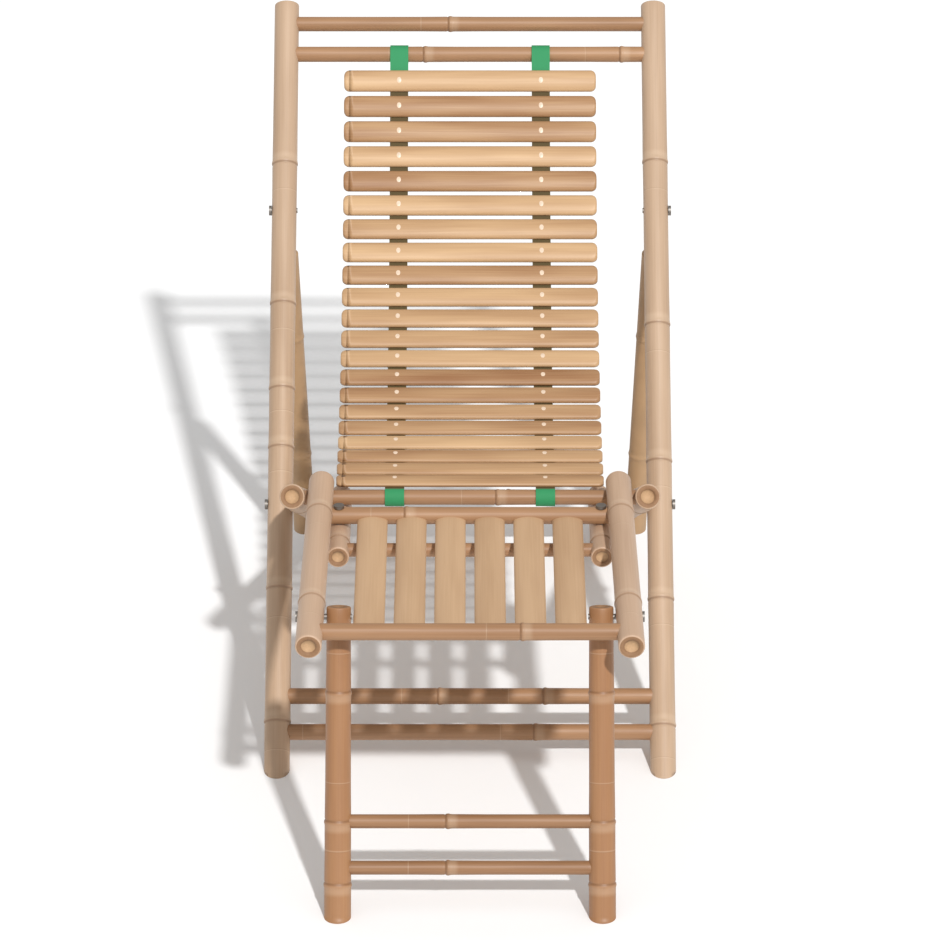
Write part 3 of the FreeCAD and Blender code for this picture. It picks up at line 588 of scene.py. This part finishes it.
class RECLINER_OT_straps(bpy.types.Operator):
    """Builds the webbing straps with green loops at both ends, and the nail heads on the slats"""
    bl_idname = "recliner.straps"
    bl_label = "Build straps"

    def execute(self, context):
        for name, x in (("webbing_left", -STRAP_X), ("webbing_right", STRAP_X)):
            self.strap(name, x)
        self.nails(context.scene.recliner.nail)
        return {"FINISHED"}

    def strap(self, name, x):
        """A ribbon along the sling's parabola with a flat loop round the bar at each end."""
        top = math.radians(TOP_ANGLE)
        end = np.array([SLING_RUNG[0] - TOP_WRAP * math.sin(top), SLING_RUNG[1] + TOP_WRAP * math.cos(top)])
        a, b = np.array(SAG[0]) + (0, SAG_LIFT), np.array(SAG[1])
        u = np.linspace(0, 1, STRAP_ROWS)[:, None]
        line = (1 - u) ** 2 * a + 2 * u * (1 - u) * b + u ** 2 * end
        slope = 2 * (1 - u) * (b - a) + 2 * u * (end - b)
        slope /= np.linalg.norm(slope, axis=1)[:, None]
        normal = np.stack([-slope[:, 1], slope[:, 0]], 1)
        rows = [np.stack([np.full(STRAP_ROWS, x + sx * STRAP_HALF),
                          *(line + sn * STRAP_HALF_THICK * normal).T], 1)
                for sx, sn in ((-1, 1), (1, 1), (1, -1), (-1, -1))]
        faces = grid_faces(STRAP_ROWS, 4)
        # the ribbon is green cloth: its rows under the slats get the dark olive finish as painted shade from
        # the slats, and its last rows above them the green
        strap = new_object(name + "_ribbon", np.stack(rows, 1).reshape(-1, 3), faces,
                           [materials()["strap"], materials()["green"]],
                           [int(i // 4 >= STRAP_GREEN_FROM) for i in range(len(faces))], smooth=False)
        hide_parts(name)
        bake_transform(strap)
        angle = np.linspace(0, 2 * math.pi, LOOP_ROUND, endpoint=False)
        p, q = np.meshgrid(np.arange(LOOP_ROUND), np.arange(4), indexing="ij")
        next_p, next_q = (p + 1) % LOOP_ROUND, (q + 1) % 4
        faces = np.stack([p * 4 + q, p * 4 + next_q, next_p * 4 + next_q, next_p * 4 + q], -1)
        faces = faces.reshape(-1, 4).tolist()
        for label, (y, z), inner, body in LOOPS:
            outer = inner + LOOP_THICK
            loop = [np.stack([np.full(LOOP_ROUND, x + sx * STRAP_HALF), y + r * np.cos(angle),
                              z + r * np.sin(angle)], 1)
                    for sx, r in ((-1, outer), (1, outer), (1, inner), (-1, inner))]
            ring = new_object("%s_loop_%s" % (name, label), np.stack(loop, 1).reshape(-1, 3), faces,
                              [materials()["green"]], [0] * len(faces), smooth=False)
            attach(ring, body)

    def nails(self, radius):
        """A low round head on each sling slat over each strap: a quarter wave from middle to rim."""
        for node, (centre, way, across_, up, thick) in sorted(FRAME["slats"].items()):
            if not node.startswith("sling_slat"):
                continue
            angle = np.linspace(0, 2 * math.pi, NAIL_ROUND, endpoint=False)
            turn = np.cos(angle)[:, None] * way + np.sin(angle)[:, None] * across_
            points, faces = [], []
            for x in (-STRAP_X, STRAP_X):
                base, last = len(points), (len(NAIL_RINGS) - 1) * NAIL_ROUND
                for share in NAIL_RINGS:
                    high = thick - NAIL_SINK + NAIL_RISE * math.cos(share * math.pi / 2)
                    points += (centre + x * way + radius * share * turn + high * up).tolist()
                points.append((centre + x * way + (thick + NAIL_TOP) * up).tolist())
                faces += [[base + q for q in f] for f in grid_faces(len(NAIL_RINGS), NAIL_ROUND)]
                faces += [[base + last + k, base + last + (k + 1) % NAIL_ROUND, base + last + NAIL_ROUND]
                          for k in range(NAIL_ROUND)]
            head = new_object(node + "_nails", points, faces, [materials()["nail"]], [0] * len(faces))
            carry(head, node)


class RECLINER_OT_fittings(bpy.types.Operator):
    """Gives the bolts, pegs and prop struts, which keep their CAD meshes, their finishes"""
    bl_idname = "recliner.fittings"
    bl_label = "Dress fittings"

    def execute(self, context):
        for node, obj in FRAME["nodes"].items():
            if obj.hide_render:
                continue
            finish = "steel" if node.endswith("bolts") else "peg" if node == "prop_stops" else "strut"
            obj.data.materials.clear()
            obj.data.materials.append(materials()[finish])
        return {"FINISHED"}


class RECLINER_OT_stage(bpy.types.Operator):
    """Sets the pale floor, the soft studio light and the camera"""
    bl_idname = "recliner.stage"
    bl_label = "Set stage"

    def execute(self, context):
        scene = context.scene
        h = FLOOR_HALF
        floor = new_object("floor", [(-h, -h, 0), (h, -h, 0), (h, h, 0), (-h, h, 0)], [[0, 1, 2, 3]], [], [0])
        mat = plain_material("Floor", FLOOR_TONES[0][:3], 0.95, grain=2.0)
        for socket, tone in zip("AB", FLOOR_TONES):
            mat.node_tree.nodes["Mix"].inputs[socket].default_value = tone
        floor.data.materials.append(mat)
        world = bpy.data.worlds.new("Studio")
        scene.world = world
        world.use_nodes = True
        tree = world.node_tree
        back, out = tree.nodes["Background"], tree.nodes["World Output"]
        back.inputs["Color"].default_value = (1, 1, 1, 1)
        back.inputs["Strength"].default_value = SKY_STRENGTH
        white = add_node(tree, "ShaderNodeBackground")
        white.inputs["Color"].default_value = (1, 1, 1, 1)
        white.inputs["Strength"].default_value = 1.0
        rays, pick = add_node(tree, "ShaderNodeLightPath"), add_node(tree, "ShaderNodeMixShader")
        tree.links.new(rays.outputs["Is Camera Ray"], pick.inputs[0])
        tree.links.new(back.outputs[0], pick.inputs[1])
        tree.links.new(white.outputs[0], pick.inputs[2])
        tree.links.new(pick.outputs[0], out.inputs["Surface"])
        light = bpy.data.lights.new("Key", "SUN")
        light.energy, light.angle = LIGHT_STRENGTH, math.radians(LIGHT_ANGLE)
        lamp = bpy.data.objects.new("Key", light)
        flat = math.hypot(*LIGHT_WAY[:2])
        lamp.rotation_euler = (math.pi / 2 + math.atan2(LIGHT_WAY[2], flat), 0,
                               math.atan2(-LIGHT_WAY[0], LIGHT_WAY[1]))
        scene.collection.objects.link(lamp)
        cam = bpy.data.objects.new("Camera", bpy.data.cameras.new("Camera"))
        cam.location = CAMERA_AT
        cam.rotation_euler = (math.radians(CAMERA_PITCH), 0, 0)
        cam.data.lens, cam.data.sensor_width = CAMERA_LENS, 36.0
        scene.collection.objects.link(cam)
        scene.camera = cam
        scene.view_settings.view_transform = "Standard"
        return {"FINISHED"}


class RECLINER_PT_panel(bpy.types.Panel):
    """The recliner's settings and steps"""
    bl_label = "Recliner"
    bl_idname = "RECLINER_PT_panel"
    bl_space_type = "VIEW_3D"
    bl_region_type = "UI"
    bl_category = "Recliner"

    def draw(self, context):
        for key in ("swell", "groove", "spread", "nail"):
            self.layout.prop(context.scene.recliner, key)
        for step in STEPS:
            self.layout.operator(step.bl_idname)


STEPS = (RECLINER_OT_poles, RECLINER_OT_slats, RECLINER_OT_straps, RECLINER_OT_fittings, RECLINER_OT_stage)
CLASSES = (ReclinerSettings, *STEPS, RECLINER_PT_panel)


def register():
    for cls in CLASSES:
        bpy.utils.register_class(cls)
    bpy.types.Scene.recliner = bpy.props.PointerProperty(type=ReclinerSettings)


def unregister():
    del bpy.types.Scene.recliner
    for cls in reversed(CLASSES):
        bpy.utils.unregister_class(cls)


def main():
    """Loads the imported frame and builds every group."""
    register()
    FRAME.update(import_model())
    for step in STEPS:
        group, name = step.bl_idname.split(".")
        getattr(getattr(bpy.ops, group), name)()


if __name__ == "__main__":
    main()
